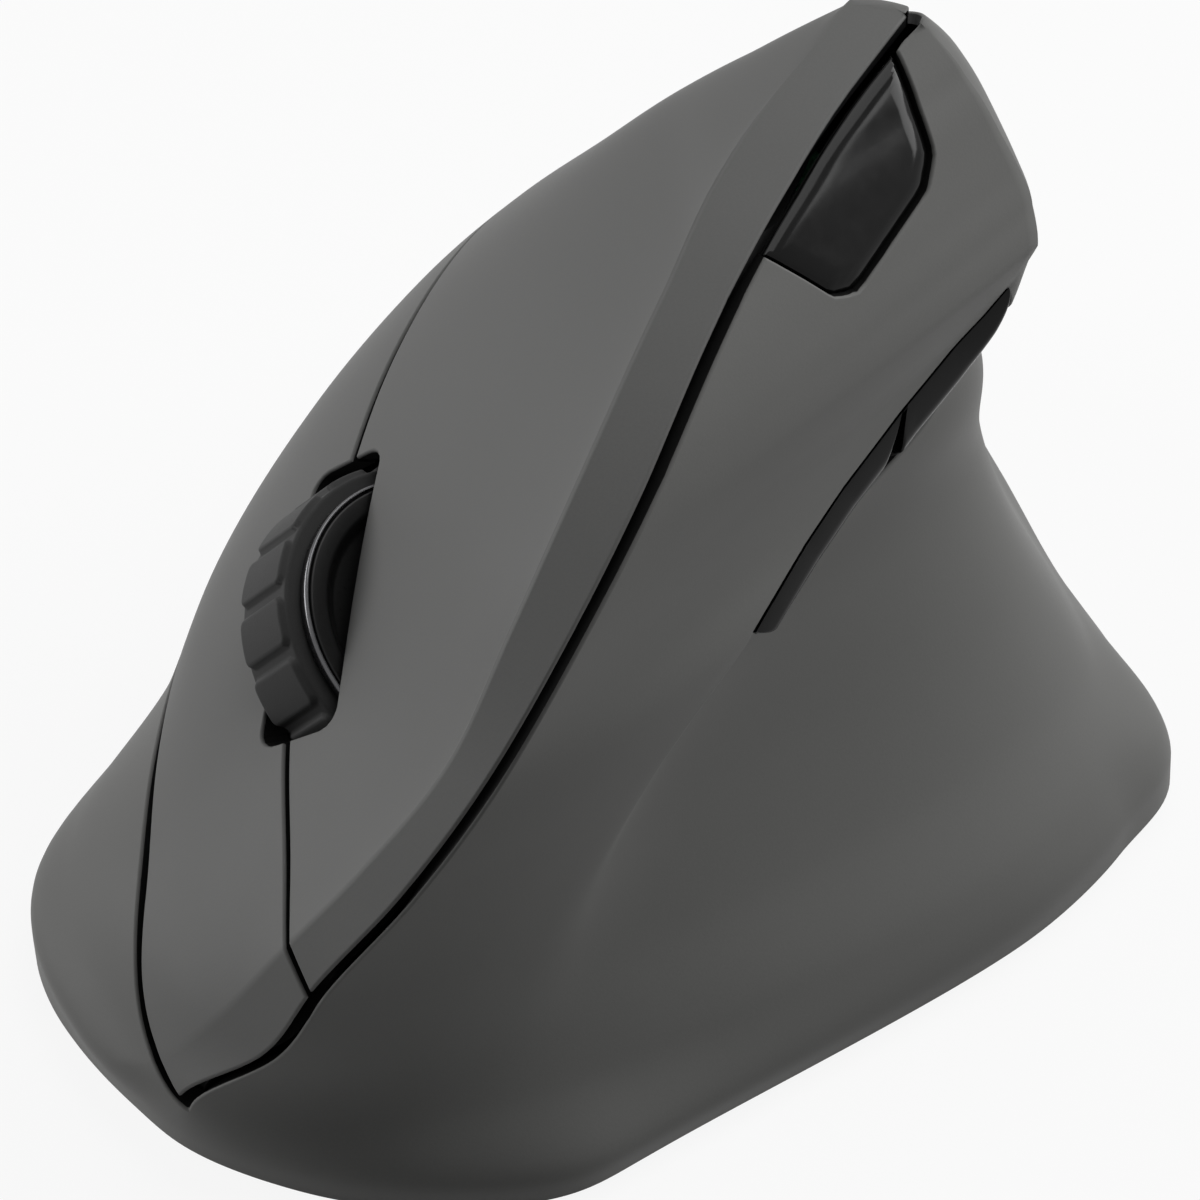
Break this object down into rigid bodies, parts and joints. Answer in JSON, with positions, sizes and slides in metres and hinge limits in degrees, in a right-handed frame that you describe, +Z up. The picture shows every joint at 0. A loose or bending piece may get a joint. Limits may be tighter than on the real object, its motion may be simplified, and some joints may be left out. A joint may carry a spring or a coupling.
{
  "type": "vertical ergonomic mouse",
  "caption": "Right-handed upright computer mouse with a leaning finger face, a scroll wheel, a thumb scoop with slim thumb keys and a flared base rim",
  "frame": {"origin": "on the table, under the middle of the mouse", "axes": "the nose points to -Y, +X is the thumb side, -X the finger side and +Z is up"},
  "size_m": [0.0805, 0.1191, 0.0724],
  "materials": {
    "main_shell": "fine matte dark grey moulding",
    "left_button": "fine matte dark grey moulding",
    "right_button": "fine matte dark grey moulding",
    "palm_cover": "fine matte dark grey moulding",
    "button_frame": "matte black",
    "wheel_tyre": "soft black rubber",
    "wheel_hub": "matte black",
    "wheel_ring": "bright plated",
    "wheel_axle": "turned steel",
    "wheel_cradle": "matte black",
    "wheel_encoder": "matte grey",
    "wheel_spring": "spring wire",
    "wheel_board": "green circuit board",
    "middle_switch": "matte black",
    "finger_board": "green circuit board",
    "button_switches": "matte black",
    "forward_button": "polished black",
    "back_button": "polished black",
    "resolution_button": "polished black",
    "thumb_board": "green circuit board",
    "resolution_board": "green circuit board",
    "small_switches": "matte black",
    "base_plate": "matte black moulding",
    "battery_door": "matte black moulding",
    "battery_holder": "matte black moulding",
    "battery_cells": "printed steel can",
    "battery_contacts": "plated spring steel",
    "battery_springs": "plated spring wire",
    "main_board": "green circuit board",
    "main_chip": "black package",
    "sensor": "black package",
    "sensor_lens": "clear moulded lens",
    "sensor_light": "tinted lens cap",
    "power_slider": "matte grey",
    "power_case": "matte black",
    "receiver": "matte black with a bare steel plug",
    "glide_feet": "slick low friction pads",
    "base_screws": "zinc plated",
    "board_screws": "zinc plated"
  },
  "bodies": {
    "shell": {"main_shell": "main_shell", "palm_cover": "palm_cover", "button_frame": "button_frame", "wheel_board": "wheel_board", "middle_switch": "middle_switch", "finger_board": "finger_board", "button_switches": "button_switches", "thumb_board": "thumb_board", "resolution_board": "resolution_board", "small_switches": "small_switches", "base_plate": "base_plate", "battery_holder": "battery_holder", "battery_cells": "battery_cells", "battery_contacts": "battery_contacts", "battery_springs": "battery_springs", "main_board": "main_board", "main_chip": "main_chip", "sensor": "sensor", "sensor_lens": "sensor_lens", "sensor_light": "sensor_light", "power_case": "power_case", "glide_feet": "glide_feet", "base_screws": "base_screws", "board_screws": "board_screws"},
    "left_button": {"left_button": "left_button"},
    "right_button": {"right_button": "right_button"},
    "cradle": {"wheel_cradle": "wheel_cradle", "wheel_encoder": "wheel_encoder", "wheel_spring": "wheel_spring"},
    "wheel": {"wheel_tyre": "wheel_tyre", "wheel_hub": "wheel_hub", "wheel_ring": "wheel_ring", "wheel_axle": "wheel_axle"},
    "forward_button": {"forward_button": "forward_button"},
    "back_button": {"back_button": "back_button"},
    "resolution_button": {"resolution_button": "resolution_button"},
    "power_slider": {"power_slider": "power_slider"},
    "battery_door": {"battery_door": "battery_door"},
    "receiver": {"receiver": "receiver"}
  },
  "joints": [
    {"name": "left_press", "type": "hinge", "parent": "shell", "child": "left_button", "pos_m": [-0.01052, 0.00335, 0.05015], "axis": [0.6114, -0.2058, 0.7641], "range_deg": [0, 0.55], "stiffness_Nm_per_rad": 3},
    {"name": "right_press", "type": "hinge", "parent": "shell", "child": "right_button", "pos_m": [-0.02058, 0.00794, 0.03457], "axis": [0.6114, -0.2058, 0.7641], "range_deg": [0, 0.55], "stiffness_Nm_per_rad": 3},
    {"name": "wheel_press", "type": "slide", "parent": "shell", "child": "cradle", "axis": [0.7773, 0.3371, -0.5312], "range_m": [0, 0.0005], "stiffness_N_per_m": 1200},
    {"name": "wheel_spin", "type": "hinge", "parent": "cradle", "child": "wheel", "pos_m": [-0.01128, -0.02569, 0.02985], "axis": [-0.6114, 0.2058, -0.7641], "continuous": true},
    {"name": "forward_press", "type": "slide", "parent": "shell", "child": "forward_button", "axis": [-0.9347, 0.2919, -0.2029], "range_m": [0, 0.0005], "stiffness_N_per_m": 1000},
    {"name": "back_press", "type": "slide", "parent": "shell", "child": "back_button", "axis": [-0.9347, 0.2919, -0.2029], "range_m": [0, 0.0005], "stiffness_N_per_m": 1000},
    {"name": "resolution_press", "type": "slide", "parent": "shell", "child": "resolution_button", "axis": [-0.651, 0.291, -0.701], "range_m": [0, 0.0005], "stiffness_N_per_m": 1000},
    {"name": "power_slide", "type": "slide", "parent": "shell", "child": "power_slider", "axis": [0, 1, 0], "range_m": [-0.0012, 0.0012]},
    {"name": "door_open", "type": "hinge", "parent": "shell", "child": "battery_door", "pos_m": [-0.004, -0.015, 0.0014], "axis": [-1, 0, 0], "range_deg": [0, 75]},
    {"name": "receiver_slide", "type": "slide", "parent": "shell", "child": "receiver", "axis": [0, 0, -1], "range_m": [0, 0.014]}
  ]
}
